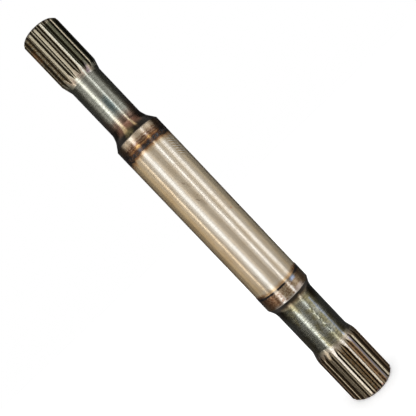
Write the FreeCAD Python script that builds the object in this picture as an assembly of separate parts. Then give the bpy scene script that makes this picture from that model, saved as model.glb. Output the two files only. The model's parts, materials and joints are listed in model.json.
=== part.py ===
import FreeCAD
import Part
import math
import os

# A splined drive shaft, turned from one steel bar. It stands on its larger end:
# the origin is the centre of that end face, and +Z runs up the axis to the smaller end.
# Lengths are in millimetres, angles in degrees.

# Teeth: involute splines of one module, cut with the same hob at both ends.
MODULE = 1.25
PRESSURE_ANGLE = 30.0
LARGE_TEETH = 22
SMALL_TEETH = 18
HOB_RADIUS = 30.0

# Tooth form, in modules: how far the profile is shifted out, the heights of the tips above
# the shifted line and of the flat roots below it, and how far the cutter clears the tips.
PROFILE_SHIFT = 0.45
ADDENDUM = 0.45
DEDENDUM = 0.6
CUTTER_CLEARANCE = 0.5

# Where the first tooth stands, turned about +Z from +X. The two ends were indexed apart.
LARGE_TOOTH_TURN = 7.0
SMALL_TOOTH_TURN = 4.5

# Lengths along the axis, from the larger end face upward.
LARGE_SPLINE_LENGTH = 32.1
LARGE_NECK_LENGTH = 42.7
LARGE_LAND_LENGTH = 9.9
BODY_LENGTH = 115.8
SMALL_NECK_LENGTH = 48.0
SMALL_SPLINE_LENGTH = 30.9

# Each groove keeps its full depth this far into the taper behind its spline, then runs out.
LARGE_GROOVE_REACH = 0.5
SMALL_GROOVE_REACH = 3.0

# Steps between the radii. The body stands above the tips of the larger spline, the land
# above the body, and each neck lies below the roots of the teeth beside it.
BODY_RISE = 0.375
LAND_STEP = 0.25
LARGE_NECK_UNDERCUT = 0.4
SMALL_NECK_UNDERCUT = 0.5

# Tapers, shoulders and the radii that blend them into the necks.
TAPER_ANGLE = 16.0
LARGE_TAPER_BLEND = 10.0
SMALL_TAPER_BLEND = 4.0
LARGE_SHOULDER_ANGLE = 27.0
LARGE_SHOULDER_BLEND = 12.0
SMALL_SHOULDER_ANGLE = 35.0
SMALL_SHOULDER_BLEND = 8.0
SMALL_FOOT_ANGLE = 17.5
SMALL_FOOT_HEIGHT = 1.25
SMALL_FOOT_BLEND = 5.0

# End chamfers and the centre holes that carried the shaft on the lathe.
LARGE_CHAMFER = 1.7
SMALL_CHAMFER = 1.2
CENTRE_CONE_ANGLE = 60.0
CENTRE_MOUTH_DIAMETER = 8.5
CENTRE_PILOT_DIAMETER = 4.0
CENTRE_PILOT_DEPTH = 10.0
DRILL_POINT_ANGLE = 118.0

# How far a cutter reaches past the end face that it starts from.
OVERCUT = 0.5

# Heights of the sections, added up from the lengths.
LARGE_CORNER_Z = LARGE_SPLINE_LENGTH + LARGE_NECK_LENGTH
LAND_TOP_Z = LARGE_CORNER_Z + LARGE_LAND_LENGTH
SMALL_CORNER_Z = LAND_TOP_Z + BODY_LENGTH
SMALL_TAPER_Z = SMALL_CORNER_Z + SMALL_NECK_LENGTH
TOTAL_LENGTH = SMALL_TAPER_Z + SMALL_SPLINE_LENGTH


def involute(angle):
    """The involute function of an angle in radians."""
    return math.tan(angle) - angle


def tip_radius(teeth):
    return MODULE * (teeth / 2 + PROFILE_SHIFT + ADDENDUM)


def root_radius(teeth):
    return MODULE * (teeth / 2 + PROFILE_SHIFT - DEDENDUM)


def half_tooth_angle(teeth, radius):
    """Half the angle that one tooth fills at a radius, in radians."""
    pressure = math.radians(PRESSURE_ANGLE)
    pitch_radius = MODULE * teeth / 2
    base_radius = pitch_radius * math.cos(pressure)
    at_pitch = (math.pi / 2 + 2 * PROFILE_SHIFT * math.tan(pressure)) / teeth
    local = math.acos(min(1.0, base_radius / radius))
    return at_pitch + involute(pressure) - involute(local)


def half_space_angle(teeth, radius):
    """Half the angle of the space between two teeth at a radius, in radians."""
    return math.pi / teeth - half_tooth_angle(teeth, radius)


def polar(radius, angle):
    return FreeCAD.Vector(radius * math.cos(angle), radius * math.sin(angle), 0)


LARGE_TIP_RADIUS = tip_radius(LARGE_TEETH)
SMALL_TIP_RADIUS = tip_radius(SMALL_TEETH)
LARGE_NECK_RADIUS = root_radius(LARGE_TEETH) - LARGE_NECK_UNDERCUT
SMALL_NECK_RADIUS = root_radius(SMALL_TEETH) - SMALL_NECK_UNDERCUT
BODY_RADIUS = LARGE_TIP_RADIUS + BODY_RISE
LAND_RADIUS = BODY_RADIUS + LAND_STEP


def axial(rise, angle):
    """The length along the axis in which a cone of this half angle rises by rise."""
    return rise / math.tan(math.radians(angle))


def blended_edges(corners):
    """Lines through (radius, z, blend) corners, each corner rounded by its blend radius."""
    points = [FreeCAD.Vector(radius, 0, z) for radius, z, blend in corners]
    edges = []
    start = points[0]
    for i in range(1, len(points) - 1):
        before = (points[i - 1] - points[i]).normalize()
        after = (points[i + 1] - points[i]).normalize()
        blend = corners[i][2]
        turn = math.pi - before.getAngle(after)
        if blend > 0:
            reach = blend * math.tan(turn / 2)
            first = points[i] + before * reach
            last = points[i] + after * reach
            inward = (before + after).normalize()
            middle = points[i] + inward * (blend / math.cos(turn / 2) - blend)
            edges.append(Part.LineSegment(start, first).toShape())
            edges.append(Part.Arc(first, middle, last).toShape())
            start = last
        else:
            edges.append(Part.LineSegment(start, points[i]).toShape())
            start = points[i]
    edges.append(Part.LineSegment(start, points[-1]).toShape())
    return edges


def turned(corners):
    """The solid turned by the outline through the corners, closed along the axis."""
    edges = blended_edges(corners)
    top = edges[-1].Vertexes[-1].Point
    bottom = edges[0].Vertexes[0].Point
    edges.append(Part.LineSegment(top, bottom).toShape())
    face = Part.Face(Part.Wire(edges))
    return face.revolve(FreeCAD.Vector(0, 0, 0), FreeCAD.Vector(0, 0, 1), 360)


def large_end_outline():
    """Chamfer, spline diameter, taper, neck, shoulder and the land beyond it."""
    taper = axial(LARGE_TIP_RADIUS - LARGE_NECK_RADIUS, TAPER_ANGLE)
    shoulder = axial(LAND_RADIUS - LARGE_NECK_RADIUS, LARGE_SHOULDER_ANGLE)
    return [
        (0, 0, 0),
        (LARGE_TIP_RADIUS - LARGE_CHAMFER, 0, 0),
        (LARGE_TIP_RADIUS, LARGE_CHAMFER, 0),
        (LARGE_TIP_RADIUS, LARGE_SPLINE_LENGTH, LARGE_TAPER_BLEND),
        (LARGE_NECK_RADIUS, LARGE_SPLINE_LENGTH + taper, LARGE_TAPER_BLEND),
        (LARGE_NECK_RADIUS, LARGE_CORNER_Z - shoulder, LARGE_SHOULDER_BLEND),
        (LAND_RADIUS, LARGE_CORNER_Z, 0),
        (LAND_RADIUS, LAND_TOP_Z, 0),
    ]


def small_end_outline():
    """The ground body, its two-cone shoulder, the neck, taper, spline and chamfer."""
    foot_radius = SMALL_NECK_RADIUS + SMALL_FOOT_HEIGHT
    foot_z = SMALL_CORNER_Z + axial(BODY_RADIUS - foot_radius, SMALL_SHOULDER_ANGLE)
    neck_z = foot_z + axial(SMALL_FOOT_HEIGHT, SMALL_FOOT_ANGLE)
    taper = axial(SMALL_TIP_RADIUS - SMALL_NECK_RADIUS, TAPER_ANGLE)
    return [
        (BODY_RADIUS, LAND_TOP_Z, 0),
        (BODY_RADIUS, SMALL_CORNER_Z, 0),
        (foot_radius, foot_z, SMALL_SHOULDER_BLEND),
        (SMALL_NECK_RADIUS, neck_z, SMALL_FOOT_BLEND),
        (SMALL_NECK_RADIUS, SMALL_TAPER_Z - taper, SMALL_TAPER_BLEND),
        (SMALL_TIP_RADIUS, SMALL_TAPER_Z, SMALL_TAPER_BLEND),
        (SMALL_TIP_RADIUS, TOTAL_LENGTH - SMALL_CHAMFER, 0),
        (SMALL_TIP_RADIUS - SMALL_CHAMFER, TOTAL_LENGTH, 0),
        (0, TOTAL_LENGTH, 0),
    ]


def space_section(teeth):
    """The face of one tooth space, open side outward, centred on +X in the XY plane."""
    root = root_radius(teeth)
    outer = tip_radius(teeth) + CUTTER_CLEARANCE * MODULE
    middle = (root + outer) / 2
    flank = [polar(radius, half_space_angle(teeth, radius)) for radius in (root, middle, outer)]
    mirrored = [FreeCAD.Vector(point.x, -point.y, 0) for point in flank]
    edges = [
        Part.Arc(mirrored[2], mirrored[1], mirrored[0]).toShape(),
        Part.LineSegment(mirrored[0], flank[0]).toShape(),
        Part.Arc(flank[0], flank[1], flank[2]).toShape(),
        Part.LineSegment(flank[2], mirrored[2]).toShape(),
    ]
    return Part.Face(Part.Wire(edges))


def tooth_space(teeth, full_depth):
    """One groove from below z = 0 to full_depth, then run out along the arc of the hob."""
    section = space_section(teeth)
    straight = section.translated(FreeCAD.Vector(0, 0, -OVERCUT))
    straight = straight.extrude(FreeCAD.Vector(0, 0, full_depth + OVERCUT))
    lift = tip_radius(teeth) + CUTTER_CLEARANCE * MODULE - root_radius(teeth)
    sweep = math.degrees(math.acos(1 - lift / HOB_RADIUS))
    hob_centre = FreeCAD.Vector(root_radius(teeth) + HOB_RADIUS, 0, full_depth)
    start = section.translated(FreeCAD.Vector(0, 0, full_depth))
    run_out = start.revolve(hob_centre, FreeCAD.Vector(0, 1, 0), sweep)
    return straight.fuse(run_out).removeSplitter()


def tooth_spaces(teeth, full_depth, first_tooth):
    """All the grooves of a spline, half a pitch beside its teeth."""
    groove = tooth_space(teeth, full_depth)
    pitch = 360 / teeth
    axis = FreeCAD.Vector(0, 0, 1)
    origin = FreeCAD.Vector(0, 0, 0)
    return [groove.rotated(origin, axis, first_tooth + pitch * (i + 0.5)) for i in range(teeth)]


def upended(shape):
    """A cutter made for the lower end, turned over about +X to work from the upper end."""
    over = shape.rotated(FreeCAD.Vector(0, 0, 0), FreeCAD.Vector(1, 0, 0), 180)
    return over.translated(FreeCAD.Vector(0, 0, TOTAL_LENGTH))


def centre_hole():
    """The cutter of a drilled centre: a cone for the lathe centre, a pilot and a drill point."""
    mouth = CENTRE_MOUTH_DIAMETER / 2
    pilot = CENTRE_PILOT_DIAMETER / 2
    half_cone = CENTRE_CONE_ANGLE / 2
    cone_depth = axial(mouth - pilot, half_cone)
    flare = OVERCUT * math.tan(math.radians(half_cone))
    point = axial(pilot, DRILL_POINT_ANGLE / 2)
    return turned([
        (0, -OVERCUT, 0),
        (mouth + flare, -OVERCUT, 0),
        (pilot, cone_depth, 0),
        (pilot, CENTRE_PILOT_DEPTH, 0),
        (0, CENTRE_PILOT_DEPTH + point, 0),
    ])


def splined_shaft():
    """The turned blank with both splines hobbed and both ends centre-drilled."""
    shaft = turned(large_end_outline() + small_end_outline())
    large_depth = LARGE_SPLINE_LENGTH + LARGE_GROOVE_REACH
    small_depth = SMALL_SPLINE_LENGTH + SMALL_GROOVE_REACH
    large = tooth_spaces(LARGE_TEETH, large_depth, LARGE_TOOTH_TURN)
    small = tooth_spaces(SMALL_TEETH, small_depth, -SMALL_TOOTH_TURN)
    cutters = large + [upended(groove) for groove in small]
    cutters += [centre_hole(), upended(centre_hole())]
    return shaft.cut(cutters)


def main():
    os.makedirs("parts", exist_ok=True)
    shaft = splined_shaft()
    print("solids", len(shaft.Solids), "valid", shaft.isValid(), "volume", round(shaft.Volume, 1))
    shaft.Solids[0].exportStep("parts/splined_shaft.step")


main()
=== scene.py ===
# %% [markdown]
# # A splined drive shaft: looks around a fixed frame
# The shaft is one bar of steel, turned, hobbed at both ends, hardened and ground. The packed
# model gives its true sizes and stays as it is; this script models the same bar with finer
# edges, gives it the finish of the real surface and sets up the picture.
# Everything is in metres. The shaft stands on its larger end, and +Z runs up its axis.

# %% Load the frame
import bmesh
import bpy
import json
import math
from mathutils import Matrix, Vector

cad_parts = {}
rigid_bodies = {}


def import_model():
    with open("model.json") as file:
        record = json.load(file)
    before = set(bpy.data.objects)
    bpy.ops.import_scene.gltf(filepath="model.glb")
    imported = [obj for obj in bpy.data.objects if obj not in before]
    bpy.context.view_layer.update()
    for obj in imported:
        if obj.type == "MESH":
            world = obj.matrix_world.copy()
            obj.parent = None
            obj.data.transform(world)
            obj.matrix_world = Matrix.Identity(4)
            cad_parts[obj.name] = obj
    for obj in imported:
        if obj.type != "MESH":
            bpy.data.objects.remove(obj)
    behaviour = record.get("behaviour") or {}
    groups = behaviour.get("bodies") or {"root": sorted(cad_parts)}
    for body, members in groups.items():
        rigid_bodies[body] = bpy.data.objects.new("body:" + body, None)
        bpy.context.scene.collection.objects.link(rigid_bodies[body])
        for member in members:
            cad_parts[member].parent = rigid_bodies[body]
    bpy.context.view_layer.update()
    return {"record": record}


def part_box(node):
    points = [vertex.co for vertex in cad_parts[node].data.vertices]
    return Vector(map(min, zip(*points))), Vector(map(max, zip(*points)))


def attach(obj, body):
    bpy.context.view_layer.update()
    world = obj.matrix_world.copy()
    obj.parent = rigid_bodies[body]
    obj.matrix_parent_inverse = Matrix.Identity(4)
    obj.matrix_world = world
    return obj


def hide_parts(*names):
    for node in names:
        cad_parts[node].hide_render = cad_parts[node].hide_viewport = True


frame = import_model()

# %% [markdown]
# The picture is shown without a film look, so a colour comes out as it is written.

# %% Show colours plainly
scene = bpy.context.scene
scene.view_settings.view_transform = "Standard"
print("view transform:", scene.view_settings.view_transform)

# %% [markdown]
# ## Where the camera stands
# The shaft is seen from close by: the edges bow, and the nearer stretch looks thicker. So the
# camera stands where those curves come from, a third of a metre from the axis and a little
# tipped. The shaft runs from corner to corner, which is a roll of the camera. A small shift
# centres the shaft without changing its perspective.

# %% Camera
MM = 0.001
CAMERA_DISTANCE = 331.95 * MM
CAMERA_HEIGHT = 155.78 * MM
CAMERA_TILT = math.radians(3.769)
CAMERA_ROLL = math.radians(43.55)
LENS = 49.693
SENSOR = 36.0
SHIFT_X = -0.0228
SHIFT_Y = 0.0281
NEAREST = 10 * MM


def add_camera():
    """The camera on the -Y side of the shaft, tipped down a little and rolled."""
    data = bpy.data.cameras.new("camera")
    data.lens = LENS
    data.sensor_width = SENSOR
    data.shift_x = SHIFT_X
    data.shift_y = SHIFT_Y
    data.clip_start = NEAREST
    camera = bpy.data.objects.new("camera", data)
    scene.collection.objects.link(camera)
    tip = Matrix.Rotation(math.pi / 2 - CAMERA_TILT, 4, "X")
    roll = Matrix.Rotation(-CAMERA_ROLL, 4, "Z")
    place = Matrix.Translation((0, -CAMERA_DISTANCE, CAMERA_HEIGHT))
    camera.matrix_world = place @ tip @ roll
    return camera


scene.camera = add_camera()
print("camera at", list(scene.camera.location))

# %% [markdown]
# ## The sizes
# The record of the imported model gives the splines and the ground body. The heights of the
# other sections follow from them and from a few sizes of the turned form.

# %% Sizes from the frame


def mount_size(name):
    """Radius and length of a mount in the record, in metres."""
    mounts = frame["record"]["mounts"]
    dims = next(mount["dims"] for mount in mounts if mount["name"] == name)
    return dims["r_mm"] * MM, dims["length_mm"] * MM


LARGE_TIP, LARGE_SPLINE_LENGTH = mount_size("large_spline")
SMALL_TIP, SMALL_SPLINE_LENGTH = mount_size("small_spline")
BODY_RADIUS, BODY_LENGTH = mount_size("ground_body")
TOTAL_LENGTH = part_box("splined_shaft")[1].z
LARGE_NECK_LENGTH = 42.7 * MM
LAND_LENGTH = 9.9 * MM
LAND_STEP = 0.25 * MM
TOOTH_DEPTH = 1.3125 * MM
LARGE_NECK_RADIUS = LARGE_TIP - TOOTH_DEPTH - 0.4 * MM
SMALL_NECK_RADIUS = SMALL_TIP - TOOTH_DEPTH - 0.5 * MM
LARGE_CORNER_Z = LARGE_SPLINE_LENGTH + LARGE_NECK_LENGTH
LAND_TOP_Z = LARGE_CORNER_Z + LAND_LENGTH
SMALL_CORNER_Z = LAND_TOP_Z + BODY_LENGTH
SMALL_TAPER_Z = TOTAL_LENGTH - SMALL_SPLINE_LENGTH
print("body from", LAND_TOP_Z, "to", SMALL_CORNER_Z, "and the shaft ends at", TOTAL_LENGTH)

# %% [markdown]
# ## The turned blank
# A cylinder could be cut into rings and each ring scaled, but Blender's spin does what the
# lathe does: one outline is drawn as a chain of corners, and the chain is spun once round.
# No edge on real steel is quite sharp, and its small radius is what catches the light.
# Bevelling the finished mesh would give all corners one radius, so each is rounded in the
# outline.

# %% Corners with radii
ARC_STEPS = 6
STRAIGHT = 0.001


def rounded(corners):
    """Points along the corners (u, v, radius), each corner turned by an arc of its radius."""
    points = [Vector(corners[0][:2])]
    for before, corner, after in zip(corners, corners[1:], corners[2:]):
        here = Vector(corner[:2])
        arriving = (Vector(before[:2]) - here).normalized()
        leaving = (Vector(after[:2]) - here).normalized()
        turn = math.pi - arriving.angle(leaving)
        radius = corner[2]
        if radius == 0 or turn < STRAIGHT:
            points.append(here)
            continue
        reach = radius * math.tan(turn / 2)
        middle = here + (arriving + leaving).normalized() * radius / math.cos(turn / 2)
        spoke = here + arriving * reach - middle
        side = 1 if arriving.cross(leaving) < 0 else -1
        for step in range(ARC_STEPS + 1):
            angle = side * turn * step / ARC_STEPS
            points.append(middle + Matrix.Rotation(angle, 2) @ spoke)
    points.append(Vector(corners[-1][:2]))
    return points


print("points of one rounded corner:", len(rounded([(0, 0), (1, 0, 0.2), (1, 1)])))

# %% [markdown]
# Both ends carry a centre hole, the cone in which the lathe held the bar. It is part of the
# outline too: a drill point, a pilot and the cone, out to the end face.

# %% Centre hole
CENTRE_MOUTH = 4.25 * MM
CENTRE_PILOT = 2.0 * MM
CENTRE_DEPTH = 10.0 * MM
CENTRE_CONE = 30
DRILL_POINT = 59
EDGE_BREAK = 0.12 * MM


def axial(rise, angle):
    """The length along the axis in which a cone of this half angle rises by rise."""
    return rise / math.tan(math.radians(angle))


def centre_hole():
    """Corners of the centre hole, from the drill point out to the end face at 0."""
    return [
        (0, CENTRE_DEPTH + axial(CENTRE_PILOT, DRILL_POINT), 0),
        (CENTRE_PILOT, CENTRE_DEPTH, 0),
        (CENTRE_PILOT, axial(CENTRE_MOUTH - CENTRE_PILOT, CENTRE_CONE), 0),
        (CENTRE_MOUTH, 0, EDGE_BREAK),
    ]


print("centre hole to", centre_hole()[0][1])

# %% [markdown]
# The outline runs from the hole in the lower face, up the whole bar, to the hole in the upper
# one. The necks are blended into the tapers and shoulders by large radii, because a sharp
# corner there is where a loaded shaft would crack.

# %% Outline of the blank
TAPER_ANGLE = 16.0
LARGE_SHOULDER_ANGLE = 27.0
SMALL_SHOULDER_ANGLE = 35.0
SMALL_FOOT_ANGLE = 17.5
SMALL_FOOT_HEIGHT = 1.25 * MM
LARGE_CHAMFER = 1.7 * MM
SMALL_CHAMFER = 1.2 * MM


def blank_outline():
    """Corners (radius, z, arc radius) of the whole blank, from the lower hole to the upper."""
    land_radius = BODY_RADIUS + LAND_STEP
    large_taper = axial(LARGE_TIP - LARGE_NECK_RADIUS, TAPER_ANGLE)
    large_shoulder = axial(land_radius - LARGE_NECK_RADIUS, LARGE_SHOULDER_ANGLE)
    foot_radius = SMALL_NECK_RADIUS + SMALL_FOOT_HEIGHT
    foot_z = SMALL_CORNER_Z + axial(BODY_RADIUS - foot_radius, SMALL_SHOULDER_ANGLE)
    neck_z = foot_z + axial(SMALL_FOOT_HEIGHT, SMALL_FOOT_ANGLE)
    small_taper = axial(SMALL_TIP - SMALL_NECK_RADIUS, TAPER_ANGLE)
    upper_hole = [(r, TOTAL_LENGTH - z, arc) for r, z, arc in reversed(centre_hole())]
    return centre_hole() + [
        (LARGE_TIP - LARGE_CHAMFER, 0, EDGE_BREAK),
        (LARGE_TIP, LARGE_CHAMFER, EDGE_BREAK),
        (LARGE_TIP, LARGE_SPLINE_LENGTH, 10 * MM),
        (LARGE_NECK_RADIUS, LARGE_SPLINE_LENGTH + large_taper, 10 * MM),
        (LARGE_NECK_RADIUS, LARGE_CORNER_Z - large_shoulder, 12 * MM),
        (land_radius, LARGE_CORNER_Z, 2 * EDGE_BREAK),
        (land_radius, LAND_TOP_Z, EDGE_BREAK),
        (BODY_RADIUS, LAND_TOP_Z, 0),
        (BODY_RADIUS, SMALL_CORNER_Z, 2 * EDGE_BREAK),
        (foot_radius, foot_z, 8 * MM),
        (SMALL_NECK_RADIUS, neck_z, 5 * MM),
        (SMALL_NECK_RADIUS, SMALL_TAPER_Z - small_taper, 4 * MM),
        (SMALL_TIP, SMALL_TAPER_Z, 4 * MM),
        (SMALL_TIP, TOTAL_LENGTH - SMALL_CHAMFER, EDGE_BREAK),
        (SMALL_TIP - SMALL_CHAMFER, TOTAL_LENGTH, EDGE_BREAK),
    ] + upper_hole


outline = [Vector((r, 0, z)) for r, z in rounded(blank_outline())]
print("outline with", len(outline), "points")

# %% [markdown]
# A chain is drawn as by hand: a tiny plane is merged into one vertex, and that vertex is
# extruded from point to point.

# %% Draw the outline


def drawn_chain(name, points):
    """A new object whose mesh is one chain of edges through the points, left in edit mode."""
    bpy.ops.object.select_all(action="DESELECT")
    bpy.ops.mesh.primitive_plane_add(size=MM, location=points[0])
    bpy.context.object.name = name
    bpy.ops.object.transform_apply(location=True, rotation=False, scale=False)
    bpy.ops.object.mode_set(mode="EDIT")
    bpy.ops.mesh.merge(type="CENTER")
    for start, end in zip(points, points[1:]):
        bpy.ops.mesh.extrude_vertices_move(TRANSFORM_OT_translate={"value": end - start})
    bpy.ops.mesh.select_all(action="SELECT")
    return bpy.context.object


shaft = drawn_chain("shaft", outline)
print("chain with", len(bmesh.from_edit_mesh(shaft.data).edges), "edges")

# %% [markdown]
# The chain is spun in 198 steps, nine for each large tooth and eleven for each small one, so
# all teeth of a spline come out alike. Where the spin closes, two rows of vertices lie on
# each other. They are welded, and a signed volume tells whether the faces point outward.

# %% Spin the bar
WELD = 0.001 * MM
BLANK_STEPS = 198


def signed_volume(piece):
    """The volume of a closed mesh: below zero if its faces point inward."""
    measured = bmesh.new()
    measured.from_mesh(piece.data)
    volume = measured.calc_volume(signed=True)
    measured.free()
    return volume


def close_up(piece):
    """Weld doubled vertices of the mesh in edit mode, turn its faces outward and leave it."""
    bpy.ops.mesh.select_all(action="SELECT")
    bpy.ops.mesh.remove_doubles(threshold=WELD)
    bpy.ops.mesh.normals_make_consistent(inside=False)
    bpy.ops.object.mode_set(mode="OBJECT")
    if signed_volume(piece) < 0:
        bpy.ops.object.mode_set(mode="EDIT")
        bpy.ops.mesh.flip_normals()
        bpy.ops.object.mode_set(mode="OBJECT")


bpy.ops.mesh.spin(steps=BLANK_STEPS, angle=2 * math.pi, center=(0, 0, 0), axis=(0, 0, 1))
close_up(shaft)
print("blank with", len(shaft.data.polygons), "faces")

# %% [markdown]
# ## The teeth
# The flanks of the teeth are involutes, the curve that a taut string draws as it unwinds from
# a circle. Both ends were cut by one hob, so they share its module, its pressure angle and
# its shift. From those the width of the space between two teeth follows at any radius.

# %% Space between two teeth
LARGE_TEETH = 22
SMALL_TEETH = 18
MODULE = 1.25 * MM
PRESSURE_ANGLE = math.radians(30)
PROFILE_SHIFT = 0.45


def involute(angle):
    return math.tan(angle) - angle


def half_space(teeth, radius):
    """Half the angle of the space between two teeth at a radius."""
    pitch_radius = MODULE * teeth / 2
    base_radius = pitch_radius * math.cos(PRESSURE_ANGLE)
    at_pitch = (math.pi / 2 + 2 * PROFILE_SHIFT * math.tan(PRESSURE_ANGLE)) / teeth
    local = math.acos(min(1, base_radius / radius))
    return math.pi / teeth - at_pitch - involute(PRESSURE_ANGLE) + involute(local)


print("space at the large tips, in degrees:", 2 * math.degrees(half_space(LARGE_TEETH, LARGE_TIP)))

# %% [markdown]
# One groove is drawn as a flat section. A few points are enough for each flank, a fillet
# stands at the root, and the section flares at its mouth, which leaves a fine bevel along
# the tips of the teeth.

# %% Section of a groove
TIP_BEVEL = 0.13 * MM
ROOT_FILLET = 0.25 * MM
CUTTER_RISE = 0.35 * MM
FLANK_SHARES = (0, 0.35, 0.7, 1)


def groove_section(teeth, tip):
    """Points (along the radius, across it) of one groove, its open side outward."""
    root = tip - TOOTH_DEPTH
    flank = []
    for share in FLANK_SHARES:
        radius = root + share * (TOOTH_DEPTH - TIP_BEVEL)
        angle = half_space(teeth, radius)
        fillet = ROOT_FILLET if share == 0 else 0
        flank.append((radius * math.cos(angle), radius * math.sin(angle), fillet))
    top = flank[-1]
    flare = TIP_BEVEL + CUTTER_RISE
    flank.append((top[0] + flare, top[1] + flare, 0))
    other = [(u, -v, fillet) for u, v, fillet in reversed(flank)]
    return rounded(other + flank)


print("section with", len(groove_section(LARGE_TEETH, LARGE_TIP)), "points")

# %% [markdown]
# A hob works straight in from the end, then leaves the steel along its own round, which is
# why the grooves end in long tongues. So the section is extruded over its full depth and spun
# up round the axis of the hob, and copies of that cutter stand round the shaft. Teeth built
# face by face would be quicker, but here the tongues come out by themselves.

# %% Cutters
HOB_RADIUS = 30 * MM
HOB_STEPS = 12
OVERCUT = 0.5 * MM


def grooves(name, teeth, tip, end_z, inward, full_depth, first_tooth):
    """A cutter with every groove of one spline, working from the end face at end_z."""
    start = end_z - inward * OVERCUT
    section = [Vector((u, v, start)) for u, v in groove_section(teeth, tip)]
    cutter = drawn_chain(name, section)
    bpy.ops.mesh.edge_face_add()
    straight = Vector((0, 0, inward * (full_depth + OVERCUT)))
    bpy.ops.mesh.extrude_region_move(TRANSFORM_OT_translate={"value": straight})
    sweep = math.acos(1 - (TOOTH_DEPTH + CUTTER_RISE) / HOB_RADIUS)
    hob_axis = (tip - TOOTH_DEPTH + HOB_RADIUS, 0, end_z + inward * full_depth)
    bpy.ops.mesh.spin(steps=HOB_STEPS, angle=sweep, center=hob_axis, axis=(0, -inward, 0))
    close_up(cutter)
    cutter.rotation_euler.z = math.radians(first_tooth + 180 / teeth)
    bpy.ops.object.transform_apply(location=False, rotation=True, scale=False)
    bpy.ops.object.mode_set(mode="EDIT")
    bpy.ops.mesh.select_all(action="SELECT")
    around = 2 * math.pi * (teeth - 1) / teeth
    bpy.ops.mesh.spin(
        steps=teeth - 1, dupli=True, angle=around, center=(0, 0, 0), axis=(0, 0, 1)
    )
    bpy.ops.object.mode_set(mode="OBJECT")
    return cutter


LARGE_TOOTH_TURN = 7.0
SMALL_TOOTH_TURN = 4.5
large_full = LARGE_SPLINE_LENGTH + 0.5 * MM
small_full = SMALL_SPLINE_LENGTH + 3.0 * MM
hobs = [
    grooves("large_hob", LARGE_TEETH, LARGE_TIP, 0, 1, large_full, LARGE_TOOTH_TURN),
    grooves(
        "small_hob", SMALL_TEETH, SMALL_TIP, TOTAL_LENGTH, -1, small_full, SMALL_TOOTH_TURN
    ),
]
print("cutters with", [len(hob.data.polygons) for hob in hobs], "faces")

# %% [markdown]
# A Boolean takes all grooves of a spline away at once. The exact solver is the slow one, but
# it keeps the tongues whole where they meet the taper at so flat an angle.

# %% Cut both splines


def cut_away(piece, cutter):
    """Takes the cutter's volume out of the piece, then deletes the cutter."""
    bpy.ops.object.select_all(action="DESELECT")
    bpy.context.view_layer.objects.active = piece
    cut = piece.modifiers.new("cut", "BOOLEAN")
    cut.operation = "DIFFERENCE"
    cut.solver = "EXACT"
    cut.object = cutter
    bpy.ops.object.modifier_apply(modifier=cut.name)
    bpy.data.objects.remove(cutter)


for hob in hobs:
    cut_away(shaft, hob)
print("shaft with", len(shaft.data.polygons), "faces")

# %% [markdown]
# Smooth shading by angle keeps the cylinders round and the edges of the teeth crisp. Smooth
# everywhere would round the teeth like wax.

# %% Shade it smooth
SMOOTH_ANGLE = math.radians(32)

bpy.ops.object.select_all(action="DESELECT")
shaft.select_set(True)
bpy.context.view_layer.objects.active = shaft
bpy.ops.object.shade_smooth_by_angle(angle=SMOOTH_ANGLE)
print("volume in cubic metres:", signed_volume(shaft))

# %% [markdown]
# ## The finish
# One bar, one steel, but each stretch has its own history. The body was ground and shines
# like old nickel. The necks were only turned, and the oil of the hardening left them
# grey-green. Beside the body stand the rings where the heat stopped: straw, brown, then
# blue-black. A painted image could carry all this, but it would need a UV map and would blur
# close by. So the finish is one material that asks of every point how high it lies, how far
# from the axis and on which side.

# %% Colours as they look


def colour(red, green, blue):
    """A colour written as it looks on a screen, 0 to 255, in the light values nodes want."""
    shares = [part / 255 for part in (red, green, blue)]
    light = [s / 12.92 if s <= 0.04045 else ((s + 0.055) / 1.055) ** 2.4 for s in shares]
    return (*light, 1)


print("mid grey in light values:", colour(128, 128, 128))

# %% [markdown]
# A recipe shortens the writing of nodes: each line that uses it adds a node or two. It could
# all be wired by hand in the shader editor, in the same order.

# %% A recipe for nodes


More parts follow.
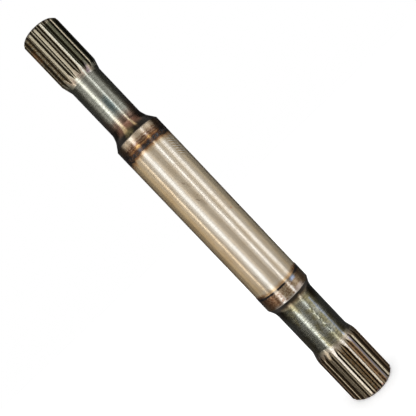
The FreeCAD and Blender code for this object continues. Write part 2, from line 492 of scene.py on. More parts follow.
class Recipe:
    """A new material that is written node by node."""

    def __init__(self, name):
        self.material = bpy.data.materials.new(name)
        self.material.use_nodes = True
        self.tree = self.material.node_tree
        self.shader = self.tree.nodes["Principled BSDF"]

    def feed(self, socket, value):
        """Joins another node's output to the socket, or writes a plain value on it."""
        if isinstance(value, bpy.types.NodeSocket):
            self.tree.links.new(value, socket)
        else:
            socket.default_value = value

    def math(self, operation, *values):
        node = self.tree.nodes.new("ShaderNodeMath")
        node.operation = operation
        for socket, value in zip(node.inputs, values):
            self.feed(socket, value)
        return node.outputs[0]

    def count(self):
        print("nodes so far:", len(self.tree.nodes))

    def times(self, first, second):
        return self.math("MULTIPLY", first, second)

    def plus(self, first, second):
        return self.math("ADD", first, second)

    def less(self, first, second):
        return self.math("SUBTRACT", first, second)

    def mix(self, share, under, over, blend="MIX"):
        """The colour under, with the colour over laid on it by share."""
        node = self.tree.nodes.new("ShaderNodeMix")
        node.data_type = "RGBA"
        node.blend_type = blend
        self.feed(node.inputs[0], share)
        self.feed(node.inputs[6], under)
        self.feed(node.inputs[7], over)
        return node.outputs[2]

    def rise(self, value, low, high, start=0.0, end=1.0, form="SMOOTHSTEP"):
        """A step from start to end while the value goes from low to high, smooth by itself."""
        node = self.tree.nodes.new("ShaderNodeMapRange")
        node.interpolation_type = form
        for socket, given in zip(node.inputs, (value, low, high, start, end)):
            self.feed(socket, given)
        return node.outputs[0]

    def window(self, value, low, high, soft):
        """One between low and high, nothing outside, with soft edges."""
        into = self.rise(value, low - soft, low + soft)
        out = self.rise(value, high - soft, high + soft, 1, 0)
        return self.times(into, out)

    def place(self):
        """Where a point lies on the piece, in metres."""
        return self.tree.nodes.new("ShaderNodeTexCoord").outputs["Object"]

    def split(self, where):
        """The x, y and z of a place."""
        parts = self.tree.nodes.new("ShaderNodeSeparateXYZ")
        self.feed(parts.inputs[0], where)
        return parts.outputs

    def stretch(self, where, across, along):
        """A place, scaled across the axis and along it."""
        node = self.tree.nodes.new("ShaderNodeMapping")
        self.feed(node.inputs["Vector"], where)
        node.inputs["Scale"].default_value = (across, across, along)
        return node.outputs[0]

    def noise(self, where, across, along, detail=3.0, rough=0.55):
        """Noise with grains of so many millimetres across and along the axis."""
        node = self.tree.nodes.new("ShaderNodeTexNoise")
        self.feed(node.inputs["Vector"], self.stretch(where, 1 / across, 1 / along))
        node.inputs["Scale"].default_value = 1
        node.inputs["Detail"].default_value = detail
        node.inputs["Roughness"].default_value = rough
        return node.outputs["Fac"]

    def bands(self, value, stops):
        """Light values along a value: stops is a list of (value, light)."""
        low, high = stops[0][0], stops[-1][0]
        share = self.rise(value, low, high, form="LINEAR")
        ramp = self.tree.nodes.new("ShaderNodeValToRGB")
        self.feed(ramp.inputs[0], share)
        elements = ramp.color_ramp.elements
        while len(elements) < len(stops):
            elements.new(0.5)
        for element, (at, light) in zip(elements, stops):
            element.position = (at - low) / (high - low)
            element.color = light
        return ramp.outputs[0]

    def tints(self, value, stops):
        """Colours as they look, along a value."""
        return self.bands(value, [(at, colour(*tint)) for at, tint in stops])

    def plain(self, value, stops):
        """Numbers along a value."""
        return self.bands(value, [(at, (level, level, level, 1)) for at, level in stops])


steel = Recipe("hardened_steel")
times, plus, less = steel.times, steel.plus, steel.less
mix, rise, window = steel.mix, steel.rise, steel.window
print("new material:", steel.material.name)

# %% [markdown]
# Every pattern is laid out in millimetres on the shaft itself, so it stays on the steel when
# the shaft is turned. The side is the angle round the axis: 0 faces the camera, and it grows
# towards -X.

# %% Height, radius and side
where = steel.stretch(steel.place(), 1 / MM, 1 / MM)
x, y, height = steel.split(where)
radius = steel.math("SQRT", plus(times(x, x), times(y, y)))
side = steel.math("ARCTAN2", times(x, -1.0), times(y, -1.0))
side = steel.math("DEGREES", side)
steel.count()

# %% [markdown]
# Turning and grinding leave fine lines round the bar, so their noise is short along the axis
# and long across it. The others are even: clouds of oxide, mottled dirt, fine speckle, and
# ragged noise that frays edges.

# %% Grain
turning_lines = steel.noise(where, 7, 0.3, detail=4)
grinding_lines = steel.noise(where, 5, 0.14, detail=3)
cloud = steel.noise(where, 9, 12)
mottle = steel.noise(where, 1.3, 1.0, detail=5, rough=0.65)
speckle = steel.noise(where, 0.45, 0.5, detail=3, rough=0.6)
ragged = steel.noise(where, 1.8, 2.6, detail=4, rough=0.65)
steel.count()

# %% [markdown]
# ### The colours along the bar
# Three rows of colours are written along the height, in millimetres from the larger end: one
# for the side that faces us, one for the two bright lines, painted lighter as highlights, and
# one for the flanks, painted darker as shade, where the dark rings also reach further. They
# are chosen ring by ring, and go through the same stretches of the bar.

# %% Rows of colours
TOP_Z = TOTAL_LENGTH / MM
BODY = (232, 221, 204)
STRAW = (228, 210, 179)
NECK = (222, 221, 206)
SCALE = (27, 23, 18)
FACING = [
    # larger spline
    (0, (128, 98, 78)), (1.8, (128, 100, 80)), (3, (184, 168, 140)), (31.5, (180, 164, 138)),
    (36.5, (206, 192, 172)),
    # larger neck
    (40, NECK),
    # larger shoulder and land
    (67, NECK), (69.5, (184, 176, 150)), (71.3, (112, 98, 76)), (72.4, (60, 50, 38)),
    (73.2, (42, 34, 26)), (74.5, (38, 31, 24)), (75, (206, 194, 180)), (76.5, (186, 166, 136)),
    (83.7, (178, 158, 130)), (84.1, (184, 144, 100)), (85.2, (214, 186, 150)),
    # ground body
    (87, BODY), (186.6, BODY),
    # upper rings
    (188.4, (218, 194, 158)), (189.6, (168, 122, 80)), (190.5, (84, 64, 48)),
    (191, (58, 52, 52)), (192.6, (66, 54, 46)), (193.2, (132, 84, 52)), (193.9, (184, 140, 90)),
    (194.6, (112, 76, 54)), (195.1, (176, 144, 110)), (196, (120, 86, 66)),
    (196.7, (206, 184, 158)), (197.3, (190, 168, 146)), (198, (226, 208, 186)),
    (200.3, (232, 216, 196)),
    # smaller shoulder
    (200.9, SCALE), (203.6, (34, 29, 21)), (205, (92, 68, 52)), (207.6, (156, 114, 94)),
    (211.5, (188, 158, 138)),
    # smaller neck
    (215.5, NECK), (241, NECK),
    # smaller spline
    (244, (214, 194, 174)), (249, (224, 211, 182)), (TOP_Z - 2.2, (228, 217, 188)),
    (TOP_Z - 1, (112, 100, 82)), (TOP_Z, (112, 100, 82)),
]
# painted highlights: lighter colours where the two bright lines run along the bar
PAINTED_HIGHLIGHTS = [
    (0, (128, 100, 80)), (3, (216, 203, 180)), (36, (220, 210, 196)), (40, NECK), (68.5, NECK),
    (71.2, (224, 210, 184)), (72.6, (120, 100, 78)), (73.4, SCALE), (74.6, SCALE),
    (75, (236, 228, 218)), (83.8, (216, 198, 174)), (84.3, (222, 188, 136)), (86.2, BODY),
    (187.8, BODY), (189.8, (216, 184, 144)), (190.6, (104, 82, 66)), (191.6, (70, 64, 66)),
    (192.6, (116, 98, 84)), (193.4, (196, 150, 92)), (194.4, (226, 188, 122)),
    (195.2, (176, 132, 98)), (196.6, (224, 208, 192)), (200.3, (238, 228, 216)), (200.9, SCALE),
    (203.4, (70, 58, 42)), (204.8, (198, 166, 122)), (210, (228, 206, 174)), (217, NECK),
    (TOP_Z - 2, (222, 214, 192)), (TOP_Z, (112, 100, 82)),
]
# painted shade: darker colours on the flanks, where the dark rings also reach further
SHADED_FLANKS = [
    (0, (122, 92, 72)), (3, (148, 122, 94)), (32, (140, 116, 90)), (38, (146, 142, 132)),
    (62, (140, 138, 128)), (67, (80, 68, 54)), (74.4, (46, 37, 29)), (75.4, (128, 108, 82)),
    (82, (112, 94, 72)), (84.4, (70, 52, 40)), (85.4, (172, 130, 86)), (87, STRAW),
    (186, STRAW), (188.6, (184, 142, 98)), (190, (54, 44, 36)), (193, (38, 34, 33)),
    (197, (74, 58, 42)), (200.2, (64, 52, 40)), (201, SCALE), (206, (52, 44, 34)),
    (214, (128, 110, 98)), (222, (146, 146, 136)), (240, (142, 142, 130)),
    (250, (136, 128, 108)), (TOP_Z, (132, 122, 96)),
]
print("colours along the bar:", len(FACING), len(PAINTED_HIGHLIGHTS), len(SHADED_FLANKS))

# %% [markdown]
# A colour ramp in Blender is stored in 256 steps, and over the whole bar one step would blur
# the rings. So each row is split in the middle of the body, where nothing changes.

# %% A row on two ramps
MIDDLE_Z = 130
halfway = rise(height, MIDDLE_Z - 1, MIDDLE_Z + 1)


def row(value, stops):
    """A row of colours along the bar."""
    lower = [stop for stop in stops if stop[0] < MIDDLE_Z]
    upper = [stop for stop in stops if stop[0] > MIDDLE_Z]
    return mix(halfway, steel.tints(value, lower), steel.tints(value, upper))


print("rows split at", MIDDLE_Z)

# %% [markdown]
# No ring on the real bar is as straight as if it were painted, so the height is warped by
# ragged noise before it picks a colour. Near a turned corner it stays calm, because there the
# colour stops where the surface turns.

# %% Warp the height
CALM, FREE = 0.6, 3


def from_corner(corner_z):
    """How far a height lies from a turned corner, as a share of the way to where it is free."""
    return rise(steel.math("ABSOLUTE", less(height, corner_z / MM)), CALM, FREE)


calm = times(from_corner(LARGE_CORNER_Z), from_corner(SMALL_CORNER_Z))


def warped(amount):
    """The height, moved by so many millimetres of ragged noise, but not at the corners."""
    shift = times(less(ragged, 0.5), 2 * amount)
    return plus(height, times(shift, calm))


steel.count()

# %% [markdown]
# Now the rows become one tone. The two painted highlight lines lie right and left of the
# middle, and beyond about 50 degrees the painted shade of the flanks takes over.

# %% One tone from three rows
frayed = plus(side, times(ragged, 6.0))
# painted highlight: a mask along the two bright lines, which takes the lighter row
highlight_lines = plus(window(frayed, -16, -10, 2.5), window(frayed, 13, 24, 3))
along = warped(1.2)
facing = mix(highlight_lines, row(along, FACING), row(along, PAINTED_HIGHLIGHTS))
turned_away = plus(steel.math("ABSOLUTE", side), times(ragged, 16.0))
# painted shade: beyond about 50 degrees the darker flank row takes over
tone = mix(rise(turned_away, 44, 58), facing, row(warped(1.8), SHADED_FLANKS))
steel.count()

# %% [markdown]
# ### Stains
# What lies over the rows is put where the real shaft has it. A stain multiplies the tone, as
# thin oil does, and a film covers it, as oxide does. A patch says where, by two heights and
# two sides, and the ragged noise frays its edges.

# %% Stain, film and patch


def stain(under, mask, strength, tint):
    """The tone under, darkened by a tint where the mask is."""
    return mix(times(mask, strength), under, colour(*tint), blend="MULTIPLY")


def film(under, mask, share, tint):
    """The tone under, covered by a tint where the mask is."""
    return mix(times(mask, share), under, colour(*tint))


def patch(low, high, first, last, soft_z, soft_side):
    """A mask between two heights and two sides, its edges ragged."""
    frayed = times(less(ragged, 0.5), 2.0)
    up = plus(height, times(frayed, soft_z))
    around = plus(side, times(frayed, soft_side))
    in_height = window(up, low, high, soft_z)
    return times(in_height, window(around, first, last, soft_side))


steel.count()

# %% [markdown]
# The ground body is not one grey. Its left side is straw-tinted, and the strips between the
# bright lines are painted as reflections: a little warmer between them and a little cooler
# under the main highlight.

# %% Tint of the ground body
on_body = window(height, 87, 188, 2)
tone = stain(tone, times(on_body, rise(side, 14, 40)), 0.6, (250, 232, 200))
# painted reflection tints: warmer strips between the bright lines, a cooler one under the main
# highlight
REFLECTION_TINTS = (
    (-28, -19.5, (255, 249, 238)),
    (-9.5, 9, (255, 248, 236)),
    (10.5, 22, (240, 245, 251)),
)
for first, last, tint in REFLECTION_TINTS:
    strip = times(on_body, window(side, first, last, 2.5))
    tone = stain(tone, strip, 1.0, tint)
print("strips on the body:", len(REFLECTION_TINTS))

# %% [markdown]
# The necks kept their oxide: dark grains, the rings of the turning tool, and an olive cast of
# burnt oil on the larger one. The tinted bands beside the body are spotted too.

# %% Mottled necks and bands
large_neck = window(height, 37, 72, 2)
on_necks = plus(large_neck, window(height, 205, 245, 3))
grains = times(on_necks, rise(mottle, 0.46, 0.62))
tone = stain(tone, grains, rise(height, 52, 66, 0.62, 0.36), (160, 164, 150))
rings = times(on_necks, rise(turning_lines, 0.42, 0.6))
tone = stain(tone, rings, 0.45, (170, 172, 166))
olive = times(large_neck, rise(cloud, 0.45, 0.6))
tone = stain(tone, olive, 0.8, (222, 210, 170))
bands = plus(window(height, 75, 83, 0.5), window(height, 193, 198, 1))
spots = times(bands, rise(mottle, 0.42, 0.6))
tone = stain(tone, spots, 0.8, (168, 132, 108))
steel.count()

# %% [markdown]
# Oxide grows into blue and violet where it got hottest. Each row below is one such patch, from
# the land at the upper shoulder to the small run-outs, except two painted ones: a blue line
# along the larger neck is a painted reflection, and a pale patch at the corner of the lower
# land is a painted highlight.

# %% Patches of oxide
STAINS = (
    # low, high, first, last, soft_z, soft_side, strength, tint
    (196.7, 200.7, -60, 60, 0.2, 6, 1.0, (246, 240, 228)),
    (217, 227, -13, 6, 3, 4, 0.7, (156, 190, 210)),
    (0.3, 2.4, -20, 14, 0.4, 4, 0.6, (236, 160, 122)),
    (75.5, 83, 22, 60, 1, 6, 0.6, (214, 166, 138)),
    (242, 249, -34, -20, 1.5, 4, 0.8, (150, 136, 166)),
)
FILMS = (
    # low, high, first, last, share, tint
    # painted reflection: a blue line of reflected light along the larger neck
    (37.0, 67.0, -37, -31, 0.45, (186, 206, 240)),
    (81.0, 83.4, -39, -23, 0.6, (146, 172, 206)),
    # painted highlight: a pale patch where glints show at the corner of the lower land
    (74.9, 77.4, -42, -20, 0.6, (224, 206, 194)),
    (77.6, 81.2, -42, -22, 0.4, (150, 122, 92)),
)
for *limits, strength, tint in STAINS:
    tone = stain(tone, patch(*limits), strength, tint)
for *limits, share, tint in FILMS:
    tone = film(tone, patch(*limits, 0.5, 3), share, tint)
olive_gap = patch(201, 206, 0, 20, 1.5, 6)
tone = film(tone, olive_gap, rise(mottle, 0.62, 0.4, 0.15, 0.5), (140, 128, 88))
print("patches of oxide:", len(STAINS) + len(FILMS) + 1)

# %% [markdown]
# The upper ring is a broad dark band with bare steel and brown breaking through. The lower
# one is a fine black line, painted lighter as a highlight where the bright lines cross it.

# %% Dark rings
upper_ring = window(height, 190.8, 192.8, 0.5)
tone = film(tone, times(upper_ring, rise(mottle, 0.5, 0.62)), 0.6, (104, 110, 118))
upper_ring = window(height, 190.6, 193.0, 0.6)
tone = film(tone, times(upper_ring, rise(ragged, 0.5, 0.58)), 0.7, (112, 78, 52))
wavering = plus(height, times(ragged, 0.5))
# painted highlight: the black line is made lighter where the bright lines cross it
highlight_sides = plus(window(side, -42, -11, 2), window(side, 11, 21, 2))
whole = less(1.0, times(highlight_sides, 0.55))
tone = film(tone, window(wavering, 82.9, 84.1, 0.25), whole, (34, 30, 32))
# painted shade: the thinner bright line on the larger neck is darkened into dashes
thin_line = times(window(height, 42, 64, 2), window(side, -19, -11, 1))
highlight_dashes = times(thin_line, rise(ragged, 0.44, 0.56))
tone = stain(tone, highlight_dashes, 0.9, (150, 150, 140))
steel.count()

# %% [markdown]
# ### The splines
# Oil and dirt stay deep between the teeth, and the darkening there is also painted shade,
# while hubs rub the tips clean. How deep a point lies is simply how far it is below the tips,
# or below the taper where the grooves run out, so no groove has to be painted on its own.

# %% Depth between the teeth
TAPER_FALL = math.tan(math.radians(TAPER_ANGLE))


def depth_below(tip, edge, outward):
    """How far a point lies below the tips, or below the taper behind their edge."""
    past = times(less(height, edge / MM), outward)
    fall = times(steel.math("MAXIMUM", past, 0.0), TAPER_FALL)
    return less(less(tip / MM, fall), radius)


SPLINES = (
    # depth, first and last height, softness there
    (depth_below(LARGE_TIP, LARGE_SPLINE_LENGTH, 1.0), 0.05, 36.2, 0.03),
    (depth_below(SMALL_TIP, SMALL_TAPER_Z, -1.0), 244.2, TOP_Z - 0.05, 0.8),
)
ROOT_DEPTH = TOOTH_DEPTH / MM + 0.1


def in_splines(low, high):
    """Where either spline lies deeper than a rise from low to high, but not on its end face."""
    found = []
    for depth, first, last, soft in SPLINES:
        inside = rise(depth, ROOT_DEPTH, ROOT_DEPTH + 0.2, 1, 0)
        deep_enough = times(rise(depth, low, high), inside)
        found.append(times(window(height, first, last, soft), deep_enough))
    return steel.math("MAXIMUM", *found)


groove = in_splines(0.08, 0.2)
deep = in_splines(0.35, 0.8)
splines = in_splines(-1.0, -0.5)
lands = times(splines, less(1.0, groove))
steel.count()

# %% [markdown]
# The floors of the grooves are flat and keep a lighter steel tone, while the corners beside
# them are black, dark oil and painted shade together. A floor is found from the angle, by
# counting tooth pitches round the bar.

# %% Floors of the grooves


def on_floors(teeth, tip, first_tooth, share):
    """Where a side falls on the flat floor of a groove, a share of its width wide."""
    pitch = 360 / teeth
    turned = plus(steel.math("DIVIDE", side, pitch), (90 + first_tooth) / pitch)
    from_tooth = times(steel.math("PINGPONG", turned, 0.5), pitch)
    edge = pitch / 2 - math.degrees(half_space(teeth, tip - TOOTH_DEPTH)) * share
    return rise(from_tooth, edge - 0.4, edge + 0.4)


low_floors = on_floors(LARGE_TEETH, LARGE_TIP, LARGE_TOOTH_TURN, 0.8)
high_floors = on_floors(SMALL_TEETH, SMALL_TIP, SMALL_TOOTH_TURN, 0.6)
floors = mix(halfway, low_floors, high_floors)
grains = times(splines, rise(mottle, 0.45, 0.62))
tone = stain(tone, grains, 0.28, (190, 172, 140))
# dark oil and painted shade: the grooves darker, their deepest corners nearly black
tone = stain(tone, groove, 0.9, (104, 92, 74))
tone = film(tone, deep, 0.8, (38, 31, 23))
floor_tone = steel.tints(height, [
    (34.0, (172, 156, 128)), (36.5, (190, 172, 150)),
    (242.5, (200, 178, 152)), (246.0, (166, 156, 132)),
])
tone = mix(times(groove, floors), tone, floor_tone)
steel.count()

# %% [markdown]
# Single teeth differ. One on the larger spline is painted violet, a painted reflection that
# carries on the blue line of the neck, some are brown with oil, and the smaller spline is
# greyer on the right and rusty on the left. Behind the bar the grey fades out again.

# %% Stained teeth
# painted reflection: the blue line of the larger neck carried on over one tooth in violet
tone = film(tone, patch(2, 35, -39.5, -31.6, 2, 1.0), 0.6, (138, 140, 174))
brown = rise(mottle, 0.6, 0.4, 0.15, 0.75)
tone = film(tone, patch(2, 33, -31.0, -20.0, 2, 1.5), brown, (180, 134, 88))
fading = rise(side, -150, -92)
for teeth, share, strength, tint in (
    (patch(246, 277, -179, -22, 1, 1), fading, 0.9, (134, 144, 134)),
    (patch(246, 278, -179, -51, 1, 2), fading, 0.8, (110, 116, 118)),
    (patch(246, 278, 34, 88, 2, 3), rise(mottle, 0.44, 0.58), 0.8, (186, 156, 108)),
    (patch(2, 33, -14, 7, 2, 2), rise(mottle, 0.4, 0.56, 0.3, 1), 0.8, (216, 180, 128)),
):
    tone = stain(tone, times(teeth, share), strength, tint)
rusty = rise(mottle, 0.4, 0.6, 0.1, 0.4)
tone = film(tone, patch(265.5, 271.5, 60, 84, 3, 8), rusty, (200, 134, 80))
steel.count()

# %% [markdown]
# A few edges of the teeth catch the light and show as fine bright lines along them: painted
# glints, pale and less metallic. Beside one of them a flank is painted in deep shade.

# %% Painted glints and shade on the teeth
GLINT_LINES = (
    # low, high, first, last
    (1.5, 34, -46.2, -43.6),
    (1.5, 33, 49.0, 51.0),
    (2, 33, 8.6, 11.0),
    (246, 278, -51.0, -49.4),
)
# painted glints: pale lines where edges of the teeth catch the light, broken in spots
painted_glints = 0.0
glint_spots = rise(mottle, 0.75, 0.5)
for low, high, first, last in GLINT_LINES:
    edge = times(window(height, low, high, 0.8), window(side, first, last, 0.5))
    painted_glints = plus(painted_glints, times(edge, glint_spots))
tone = film(tone, painted_glints, 0.9, (250, 234, 200))
# painted shade on the flank beside one glint
painted_shade = times(window(side, -42.8, -40.4, 0.5), window(height, 1.5, 34, 0.8))
tone = film(tone, painted_shade, 0.8, (30, 26, 24))
# the count of painted glint lines
print("worn edges:", len(GLINT_LINES))

# %% [markdown]
# The end faces were turned square with a pointed tool, which left fine rings. They are a sine
# of the radius, since noise would never come out round. The centre hole and a ring round its
# mouth are darker, and so is the outer rim.

# %% End faces
RING_PITCH = 0.45
middle = TOP_Z / 2
from_middle = steel.math("ABSOLUTE", less(height, middle))
on_face = rise(from_middle, middle - 0.06, middle - 0.02)
ends = steel.math("MAXIMUM", on_face, rise(radius, 8.0, 8.3, 1, 0))
faced = steel.tints(plus(radius, times(ragged, 1.2)), [
    (0.0, (46, 38, 30)), (4.4, (66, 56, 44)), (5.4, (120, 110, 94)),
    (8.0, (158, 150, 134)), (14.0, (142, 134, 118)), (16.5, (108, 94, 78)),
])
turns = steel.math("SINE", times(radius, 2 * math.pi / RING_PITCH))
tool_rings = times(rise(turns, 0, 1), rise(cloud, 0.35, 0.65))
faced = stain(faced, tool_rings, 0.7, (120, 114, 104))
faced = stain(faced, rise(mottle, 0.5, 0.7), 0.35, (150, 126, 96))
tone = mix(ends, tone, faced)
steel.count()

# %% [markdown]
# ### Marks of handling
# A shaft that lay in a workshop has nicks and a spot of rust. Each is a small tilted oval in
# millimetres along the bar and round it. They are too shallow to change the outline, so they
# are colour and not cuts in the mesh.

# %% Nicks and rust


def along_surface(angle):
    """The way round the body in millimetres, counted from an angle."""
    off = steel.math("RADIANS", less(side, angle))
    return times(off, BODY_RADIUS / MM)


def mark(z, angle, length, width, tilt):
    """A small oval mask on the body, so many millimetres long and wide, tilted by degrees."""
    up, across = less(height, z), along_surface(angle)
    lean = math.radians(tilt)
    parts = []
    for up_share, across_share, size in (
        (math.cos(lean), math.sin(lean), length / 2),
        (-math.sin(lean), math.cos(lean), width / 2),
    ):
        on_up = times(up, up_share / size)
        on_across = times(across, across_share / size)
        parts.append(steel.math("POWER", plus(on_up, on_across), 2.0))
    return rise(plus(*parts), 0.3, 1.4, 1, 0)


MARKS = (
    # height, angle, length, width, tilt, strength, tint
    (162.4, 0, 2.6, 0.8, 25, 0.45, (150, 132, 112)),
    (150.2, 1, 3.0, 0.8, 25, 0.6, (150, 132, 112)),
    (160, -6, 5, 2, 15, 0.2, (170, 156, 140)),
    (147, -5, 6, 2, 15, 0.25, (170, 156, 140)),
    (134.5, -42, 1.4, 0.9, 0, 0.8, (250, 176, 130)),
)
for *shape, strength, tint in MARKS:
    tone = stain(tone, mark(*shape), strength, tint)
print("marks on the body:", len(MARKS))

# %% [markdown]
# Near the upper ring a stone was drawn over the steel by hand and left slanting strokes. Their
# glint is painted: pale lines on a patch made darker between them. They are a sine over the
# height, sheared round the bar, and only inside one patch.

# %% Strokes of a stone
STROKE_PITCH = 1.85
STROKE_SLANT = -0.5
sheared = plus(height, times(along_surface(0), STROKE_SLANT))
phase = steel.math("DIVIDE", sheared, STROKE_PITCH / (2 * math.pi))
stroke_glints = rise(steel.math("SINE", phase), -0.2, 0.8)
stoned = patch(174, 187, -62, -42, 2, 3)
# painted highlight: the patch is darkened and the strokes painted as pale glint lines
tone = stain(tone, stoned, 0.7, (208, 198, 184))
tone = film(tone, times(stroke_glints, stoned), 0.8, (250, 246, 236))
steel.count()

# %% [markdown]
# Last come the faintest things: hairlines, streaks of a cloth along the bar, grinding lines
# round it and soft clouds. Without them the body would look like plastic.

# %% Hairlines and wiped streaks
winding = steel.noise(where, 6, 40, detail=1)
hairlines = window(winding, 0.497, 0.503, 0.002)
hairlines = times(hairlines, rise(cloud, 0.48, 0.6))
wiped = steel.noise(where, 0.9, 55, detail=2)
for mask, strength, tint in (
    (hairlines, 0.35, (150, 136, 120)),
    (rise(wiped, 0.48, 0.62), 0.24, (216, 204, 188)),
    (rise(grinding_lines, 0.45, 0.58), 0.14, (196, 188, 178)),
    (rise(cloud, 0.46, 0.62), 0.25, (240, 226, 204)),
):
    tone = stain(tone, times(mask, on_body), strength, tint)
tone = stain(tone, rise(speckle, 0.5, 0.66), 0.2, (170, 160, 140))
steel.count()

# %% [markdown]
# ### Shine, and the lines of the tools
# The lines on a ground face only show as a trembling of the shine, so they drive the
# roughness here. Scale and the end faces are dull, the ground body shines most.

# %% Roughness
rough = steel.plain(warped(0.9), [
    (0.0, 0.42), (2.0, 0.22), (36.0, 0.24), (40.0, 0.22), (71.4, 0.24), (73.2, 0.4),
    (74.5, 0.42), (75.5, 0.22), (84.0, 0.22), (88.0, 0.17), (187.0, 0.17), (191.0, 0.28),
    (194.0, 0.24), (200.2, 0.2), (201.0, 0.45), (204.0, 0.4), (208.0, 0.22), (244.0, 0.22),
    (250.0, 0.26), (TOP_Z - 2, 0.26), (TOP_Z, 0.42),
])
relief_left = steel.plain(height, [
    (0.0, 1.0), (52.0, 1.0), (64.0, 0.5), (84.0, 0.5), (88.0, 0.08), (187.0, 0.08),
    (191.0, 0.6), (206.0, 0.5), (226.0, 0.6), (240.0, 1.0), (TOP_Z, 1.0),
])
rough = plus(rough, times(less(grinding_lines, 0.5), 0.08))
scored = times(on_body, rise(grinding_lines, 0.48, 0.54))
rough = plus(rough, times(scored, 0.085))
dull_grains = times(less(mottle, 0.5), 0.12)
rough = plus(rough, times(dull_grains, relief_left))
rough = plus(rough, times(deep, 0.2))
steel.feed(steel.shader.inputs["Roughness"], rough)
steel.count()

# %% [markdown]
# The tool lines also have a depth of a few thousandths of a millimetre. As mesh they would
# take millions of faces, so they are a bump, which nearly ends on the ground body.

# %% Bump
BUMP_HEIGHT = 0.0025 * MM
relief = plus(turning_lines, times(speckle, 0.5))
bump = steel.tree.nodes.new("ShaderNodeBump")
bump.inputs["Distance"].default_value = BUMP_HEIGHT
bump.inputs["Strength"].default_value = 1.0
steel.feed(bump.inputs["Height"], times(relief, relief_left))
steel.feed(steel.shader.inputs["Normal"], bump.outputs["Normal"])
print("bump of", BUMP_HEIGHT)

# %% [markdown]
# Bare steel only mirrors, but a satin ground face spreads part of the light. A metallic share
# a little under one does that without a second shader, and the painted glints take less metal.

# %% How bare the metal lies
bare = steel.plain(height, [
    (0.0, 0.95), (36.0, 0.97), (66.0, 0.97), (74.6, 0.85), (75.6, 0.7), (200.0, 0.7),
    (201.0, 0.9), (212.0, 0.97), (244.0, 0.97), (250.0, 0.95), (TOP_Z, 0.95),
])
edge_on = window(steel.math("ABSOLUTE", side), 68, 84, 4)
bare = plus(bare, times(edge_on, 0.2))
bare = less(bare, times(lands, rise(height, 129, 131, 0.14, 0.4)))
# the painted glints take less metal, so their pale colour shows
bare = less(bare, times(painted_glints, 0.7))
steel.feed(steel.shader.inputs["Metallic"], bare)
steel.feed(steel.shader.inputs["Base Color"], tone)
print("nodes in the finish:", len(steel.tree.nodes))

# %% [markdown]
# The finished bar takes the place of the plain one and rides on the same body.

# %% Dress the shaft
shaft.data.materials.clear()
shaft.data.materials.append(steel.material)
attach(shaft, "root")
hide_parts("splined_shaft")
print("dressed:", shaft.name)

# %% [markdown]
# ## The studio
# Polished steel shows what stands round it, so a studio lights it with its surroundings: tall
# strip lamps become the long bright lines, and grey and black cards the calm and dark
# stretches between them. A cylinder mirrors what stands at twice the angle of the spot looked
# at, so lamps and cards are placed by their angle round the shaft, from the camera's side (0)
# towards -X. They hang in a wide ring, outside the picture.

# %% Strip lamps
RING_RADIUS = 0.8
FOOT = -0.65
HEAD = 0.95
FLOOR_EDGE = -0.11
COOL = (0.94, 1, 1.09)
WARM = (1, 0.95, 0.86)


def place_round(angle, radius, z):
    """A point of the ring at an angle round the shaft."""
    turn = math.radians(angle)
    return Vector((-math.sin(turn) * radius, -math.cos(turn) * radius, z))


def strip_lamp(name, angle, spread, low, high, brightness, tint=(1, 1, 1)):
    """An area lamp that covers spread degrees of the ring between two heights."""
    lamp = bpy.data.lights.new(name, "AREA")
    lamp.shape = "RECTANGLE"
    lamp.size = 2 * RING_RADIUS * math.tan(math.radians(spread / 2))
    lamp.size_y = high - low
    lamp.color = tint
    lamp.energy = brightness * math.pi * lamp.size * lamp.size_y
    holder = bpy.data.objects.new(name, lamp)
    holder.location = place_round(angle, RING_RADIUS, (low + high) / 2)
    holder.rotation_euler = (math.pi / 2, 0, -math.radians(angle))
    holder.visible_camera = False
    scene.collection.objects.link(holder)


LAMPS = (
    ("key_strip", 32, 15, FLOOR_EDGE, HEAD, 1.04, COOL),
    ("key_strip_low", 35.5, 10, FOOT, FLOOR_EDGE, 1.04, COOL),
    ("thin_strip", -30, 7, FOOT, HEAD, 1.85, COOL),
    ("right_window", -63, 17, -0.1, 0.32, 1.08, COOL),
    ("left_window", 65, 8, -0.1, 0.32, 1.6, WARM),
    ("back_strip_left", 172, 8, FOOT, HEAD, 1.2),
    ("back_strip_right", 189, 10, FOOT, HEAD, 1.2),
)
for settings in LAMPS:
    strip_lamp(*settings)
print("lamps round the shaft:", len(LAMPS))

# %% [markdown]
# The cards behind the lamps are curved sheets that glow evenly. The tapers mirror what stands
# lower and higher than the body does, so each card has a level of its own at its foot, behind
# the body, over it and at its top. Only reflections see the cards, and they throw no shadow.

# %% Tones of a card
ROOF_EDGE = 0.34
TOP_EDGE = 0.46
SOFT = 0.03
GREY = (0.98, 0.98, 1)


def tones(foot, middle, roof=None, top=None, tint=(1, 1, 1)):
    """Levels of a card at its foot, behind the body, over it and at the top, softly joined."""
    roof = middle if roof is None else roof
    top = roof if top is None else top
    levels = [(FOOT, foot)]
    for edge, below, above in (
        (FLOOR_EDGE, foot, middle), (ROOF_EDGE, middle, roof), (TOP_EDGE, roof, top)
    ):
        levels += [(edge - SOFT, below), (edge + SOFT, above)]
    levels += [(HEAD, top)]
    return [(z, (*(part * level for part in tint), 1)) for z, level in levels]


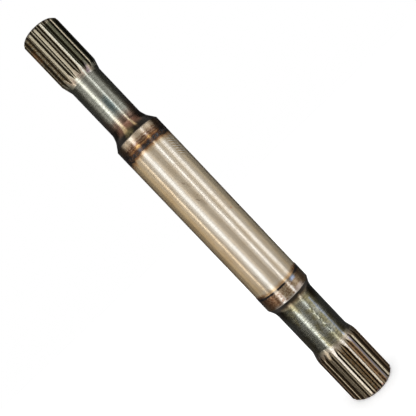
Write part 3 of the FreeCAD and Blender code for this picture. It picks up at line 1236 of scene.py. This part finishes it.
CARDS = (
    ("right_back_card", -165, -104, tones(0.07, 0.052, 0.055, tint=GREY)),
    ("right_panel", -104, -72, tones(0.07, 0.43, 0.07, tint=WARM)),
    ("right_card", -72, -45, tones(0.6, 0.46, 0.46, 0.15)),
    ("right_wing", -45, -24, tones(0.23, 0.52, 0.23)),
    ("front_card_right", -24, -14, tones(0.35, 0.67, 0.35)),
    ("front_card", -14, 4, tones(0.15, 0.28, 0.15, tint=(1, 0.97, 0.91))),
    ("front_card_left", 4, 12, tones(0.14, 0.4, 0.28)),
    ("key_wing_right", 12, 22, tones(0.16, 0.84, 0.48)),
    ("key_wing_left", 40, 49, tones(0.18, 0.77, 0.34)),
    ("left_card", 49, 74, tones(0.06, 0.33, 0.27)),
    ("left_panel", 74, 108, tones(0.04, 0.52, 0.07, tint=WARM)),
    ("left_back_card", 108, 166, tones(0.1, 0.08, 0.08, tint=GREY)),
    ("back_card", 166, 195, tones(0.3, 0.3)),
)
print("cards to hang:", len(CARDS))

# %% [markdown]
# A card is a straight line from foot to head, spun part of the way round the shaft.

# %% Hang the cards
CARD_RADIUS = 0.9
CARD_STEPS = 12


def card(name, first, last, levels):
    """A curved card on the ring between two angles."""
    foot = place_round(first, CARD_RADIUS, FOOT)
    piece = drawn_chain(name, [foot, foot + Vector((0, 0, HEAD - FOOT))])
    sweep = math.radians(last - first)
    bpy.ops.mesh.spin(steps=CARD_STEPS, angle=sweep, center=(0, 0, 0), axis=(0, 0, 1))
    bpy.ops.object.mode_set(mode="OBJECT")
    board = Recipe(name)
    board.tree.nodes.remove(board.shader)
    z = board.split(board.place())[2]
    glow = board.tree.nodes.new("ShaderNodeEmission")
    board.feed(glow.inputs["Color"], board.bands(z, levels))
    output = board.tree.nodes["Material Output"]
    board.feed(output.inputs["Surface"], glow.outputs["Emission"])
    piece.data.materials.append(board.material)
    piece.visible_camera = False
    piece.visible_diffuse = False
    piece.visible_shadow = False
    piece.visible_transmission = False
    piece.visible_volume_scatter = False


for settings in CARDS:
    card(*settings)
print("cards round the shaft:", len(CARDS))

# %% [markdown]
# The room is white to the camera and in reflections, and a softer light to all else, so the
# background is white without more light on the steel.

# %% Room
ROOM_LIGHT = 0.8

room = bpy.data.worlds.new("room")
scene.world = room
room.use_nodes = True
tree = room.node_tree
path = tree.nodes.new("ShaderNodeLightPath")
seen = path.outputs["Is Camera Ray"]
for ray in ("Is Glossy Ray", "Is Transmission Ray"):
    either = tree.nodes.new("ShaderNodeMath")
    either.operation = "MAXIMUM"
    tree.links.new(seen, either.inputs[0])
    tree.links.new(path.outputs[ray], either.inputs[1])
    seen = either.outputs[0]
level = tree.nodes.new("ShaderNodeMapRange")
level.inputs["To Min"].default_value = ROOM_LIGHT
level.inputs["To Max"].default_value = 1.0
tree.links.new(seen, level.inputs["Value"])
background = tree.nodes["Background"]
background.inputs["Color"].default_value = (1, 1, 1, 1)
tree.links.new(level.outputs["Result"], background.inputs["Strength"])
print("room light:", ROOM_LIGHT)

# %% [markdown]
# The floor is pale and plain, with a faint grain in its shine. A little glow that only the
# camera sees lifts it to white and leaves the soft shadow of the shaft.

# %% Floor
FLOOR_SIZE = 6.0
FLOOR_LIFT = 0.4
PALE = (0.85, 0.85, 0.85, 1)

bpy.ops.object.select_all(action="DESELECT")
bpy.ops.mesh.primitive_plane_add(size=FLOOR_SIZE)
floor = bpy.context.object
floor.name = "floor"
paint = Recipe("pale_floor")
paint.shader.inputs["Base Color"].default_value = PALE
grain = paint.noise(paint.stretch(paint.place(), 1 / MM, 1 / MM), 3, 3)
paint.feed(paint.shader.inputs["Roughness"], paint.rise(grain, 0.3, 0.7, 0.85, 0.95))
path = paint.tree.nodes.new("ShaderNodeLightPath")
paint.shader.inputs["Emission Color"].default_value = (1, 1, 1, 1)
lift = paint.times(path.outputs["Is Camera Ray"], FLOOR_LIFT)
paint.feed(paint.shader.inputs["Emission Strength"], lift)
floor.data.materials.append(paint.material)
floor.visible_glossy = False
print("floor of", FLOOR_SIZE)
